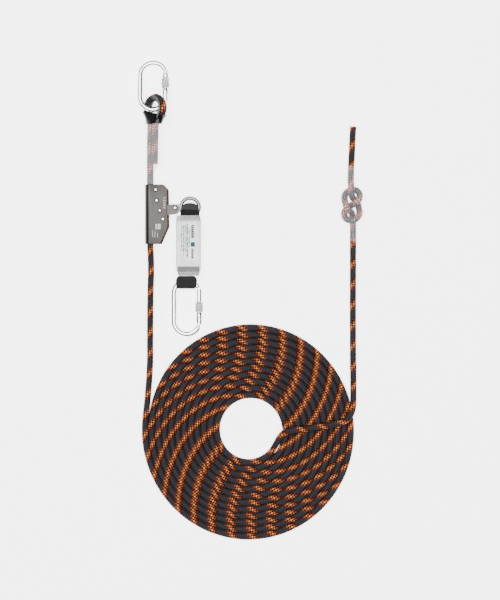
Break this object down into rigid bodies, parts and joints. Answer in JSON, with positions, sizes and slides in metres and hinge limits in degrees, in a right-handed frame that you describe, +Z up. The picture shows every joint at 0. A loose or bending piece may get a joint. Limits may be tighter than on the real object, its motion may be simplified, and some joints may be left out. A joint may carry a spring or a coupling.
{
  "type": "rope grab on working line",
  "caption": "Sliding rope grab on a kernmantle line with thimble eye, stopper knot, energy absorber and screw-lock connectors.",
  "frame": {"origin": "on the back face of the grab housing, under the line's axis and half way along the housing", "axes": "+Y along the line toward its thimble eye, +X from the line toward the absorber, +Z up from the floor that everything lies on"},
  "size_m": [0.4146, 0.8834, 0.0426],
  "materials": {
    "rope": "braided sheath, black with orange checked bands",
    "thimble_plastic": "moulded, satin",
    "clear_sleeve": "shrunk clear sleeve",
    "plate_steel": "brushed plate with a dark fold",
    "bright_steel": "zinc plated and polished",
    "link_steel": "satin forged steel",
    "spring_steel": "drawn wire",
    "webbing": "woven polyester",
    "label": "printed film",
    "clear_cover": "shrunk clear film"
  },
  "bodies": {
    "rope": {"rope_lead": "rope", "rope_coil": "rope", "rope_return": "rope", "thimble": "thimble_plastic", "eye_sleeve": "clear_sleeve", "knot_sleeve": "clear_sleeve"},
    "grab": {"housing": "plate_steel", "guide_rivet": "bright_steel", "spacer_rivet": "bright_steel", "cam_rivet": "bright_steel", "stop_rivet": "bright_steel", "guide_roller": "bright_steel", "spacer_roller": "bright_steel", "cam_spring": "spring_steel"},
    "lever": {"rear_arm_plate": "plate_steel", "front_arm_plate": "plate_steel", "cam": "link_steel", "cam_bush": "bright_steel", "arm_rivet": "bright_steel"},
    "eye_link": {"eye_link": "link_steel"},
    "absorber": {"top_loop": "webbing", "bottom_loop": "webbing", "tear_webbing": "webbing", "label": "label", "absorber_cover": "clear_cover"},
    "upper_carabiner": {"upper_frame": "bright_steel", "upper_gate_pin": "bright_steel"},
    "upper_gate": {"upper_gate": "bright_steel", "upper_latch_pin": "bright_steel", "upper_plunger": "bright_steel", "upper_gate_spring": "spring_steel"},
    "upper_sleeve": {"upper_screw_sleeve": "bright_steel"},
    "lower_carabiner": {"lower_frame": "bright_steel", "lower_gate_pin": "bright_steel"},
    "lower_gate": {"lower_gate": "bright_steel", "lower_latch_pin": "bright_steel", "lower_plunger": "bright_steel", "lower_gate_spring": "spring_steel"},
    "lower_sleeve": {"lower_screw_sleeve": "bright_steel"}
  },
  "joints": [
    {"name": "grab_slide", "type": "slide", "parent": "rope", "child": "grab", "axis": [0, 1, 0], "range_m": [-0.012, 0]},
    {"name": "cam_lever", "type": "hinge", "parent": "grab", "child": "lever", "pos_m": [0.0182, 0.0068, 0.0096], "axis": [0, 0, 1], "range_deg": [-3, 20], "stiffness_Nm_per_rad": 0.02},
    {"name": "link_swing", "type": "hinge", "parent": "lever", "child": "eye_link", "pos_m": [0.046, 0.0119, 0.0096], "axis": [0, 0, 1], "range_deg": [-2, 20]},
    {"name": "absorber_swing", "type": "hinge", "parent": "eye_link", "child": "absorber", "pos_m": [0.0732, 0.0132, 0.0096], "axis": [0, 0, 1], "range_deg": [-3, 6]},
    {"name": "upper_carabiner_swing", "type": "hinge", "parent": "rope", "child": "upper_carabiner", "pos_m": [0.0054, 0.215, 0.01731], "axis": [0, 0.1822, 0.9833], "range_deg": [-10, 10]},
    {"name": "upper_gate_open", "type": "hinge", "parent": "upper_carabiner", "child": "upper_gate", "pos_m": [0.0282, 0.20999, 0.01824], "axis": [0, 0.1822, 0.9833], "range_deg": [0, 20], "stiffness_Nm_per_rad": 0.05, "springref_deg": -5.73},
    {"name": "upper_sleeve_lock", "type": "slide", "parent": "upper_gate", "child": "upper_sleeve", "axis": [0, 0.9833, -0.1822], "range_m": [0, 0.006]},
    {"name": "lower_carabiner_swing", "type": "hinge", "parent": "absorber", "child": "lower_carabiner", "pos_m": [0.0671, -0.14541, 0.00868], "axis": [0, 0.0279, -0.9996], "range_deg": [-4, 12]},
    {"name": "lower_gate_open", "type": "hinge", "parent": "lower_carabiner", "child": "lower_gate", "pos_m": [0.0899, -0.14031, 0.00882], "axis": [0, 0.0279, -0.9996], "range_deg": [0, 20], "stiffness_Nm_per_rad": 0.05, "springref_deg": -5.73},
    {"name": "lower_sleeve_lock", "type": "slide", "parent": "lower_gate", "child": "lower_sleeve", "axis": [0, -0.9996, -0.0279], "range_m": [0, 0.006]}
  ]
}
